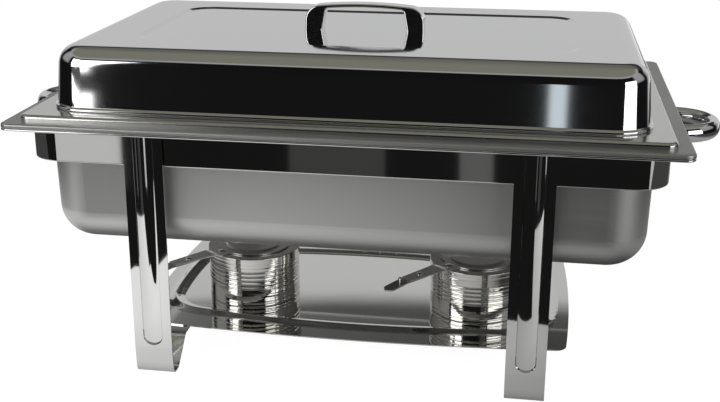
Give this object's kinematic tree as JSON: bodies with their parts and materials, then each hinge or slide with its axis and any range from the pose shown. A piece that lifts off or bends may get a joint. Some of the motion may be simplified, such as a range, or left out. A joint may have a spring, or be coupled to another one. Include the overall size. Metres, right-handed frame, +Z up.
{
  "type": "chafing dish food warmer",
  "caption": "Full-size stainless buffet food warmer: lidded food pan over a water pan, in a legged stand with carrying loops and a shelf for lidded fuel holders.",
  "frame": {"origin": "on the floor, under the middle of the dish", "axes": "+X along the dish to the right carrying loop, -Y to the front where the snuffer handles point, +Z up"},
  "size_m": [0.636, 0.35, 0.302],
  "materials": {
    "lid_mirror_steel": "mirror-polished stainless steel sheet",
    "mirror_steel": "mirror-polished stainless steel sheet",
    "satin_steel": "satin stainless steel, drawn",
    "pan_steel": "bright stainless steel, drawn",
    "chromed_steel": "chrome-plated, polished",
    "cup_steel": "spun stainless steel, polished",
    "cover_steel": "stainless steel sheet, light grain",
    "grip_steel": "dark pressed steel",
    "fastener_steel": "plated steel"
  },
  "bodies": {
    "stand": {"stand_collar": "mirror_steel", "leg_front_left": "mirror_steel", "leg_front_right": "mirror_steel", "leg_rear_left": "mirror_steel", "leg_rear_right": "mirror_steel", "shelf_tray": "mirror_steel", "side_loop_left": "chromed_steel", "side_loop_right": "chromed_steel", "loop_screws": "fastener_steel", "loop_washers": "fastener_steel"},
    "water_pan": {"water_pan": "satin_steel"},
    "food_pan": {"food_pan": "pan_steel"},
    "lid": {"lid_shell": "lid_mirror_steel", "lid_handle": "chromed_steel", "lid_handle_screws": "fastener_steel", "lid_handle_washers": "fastener_steel"},
    "fuel_holder_left": {"fuel_cup_left": "cup_steel", "cup_cap_left": "cup_steel", "pivot_rivet_left": "fastener_steel"},
    "snuffer_left": {"snuffer_cover_left": "cover_steel", "snuffer_grip_left": "grip_steel", "grip_rivet_left": "fastener_steel", "thumb_pin_left": "fastener_steel"},
    "fuel_holder_right": {"fuel_cup_right": "cup_steel", "cup_cap_right": "cup_steel", "pivot_rivet_right": "fastener_steel"},
    "snuffer_right": {"snuffer_cover_right": "cover_steel", "snuffer_grip_right": "grip_steel", "grip_rivet_right": "fastener_steel", "thumb_pin_right": "fastener_steel"}
  },
  "joints": [
    {"name": "water_pan_lift", "type": "slide", "parent": "stand", "child": "water_pan", "axis": [0, 0, 1], "range_m": [0, 0.12]},
    {"name": "food_pan_lift", "type": "slide", "parent": "water_pan", "child": "food_pan", "axis": [0, 0, 1], "range_m": [0, 0.075]},
    {"name": "lid_lift", "type": "slide", "parent": "food_pan", "child": "lid", "axis": [0, 0, 1], "range_m": [0, 0.1]},
    {"name": "fuel_holder_left_draw", "type": "slide", "parent": "stand", "child": "fuel_holder_left", "axis": [-0.9889, 0, 0.1483], "range_m": [0, 0.15]},
    {"name": "snuffer_left_swing", "type": "hinge", "parent": "fuel_holder_left", "child": "snuffer_left", "pos_m": [-0.12692, -0.05201, 0.0736], "axis": [0, 0, 1], "range_deg": [0, 110]},
    {"name": "fuel_holder_right_draw", "type": "slide", "parent": "stand", "child": "fuel_holder_right", "axis": [0.9889, 0, 0.1483], "range_m": [0, 0.15]},
    {"name": "snuffer_right_swing", "type": "hinge", "parent": "fuel_holder_right", "child": "snuffer_right", "pos_m": [0.08608, -0.05351, 0.0736], "axis": [0, 0, 1], "range_deg": [0, 110]}
  ]
}
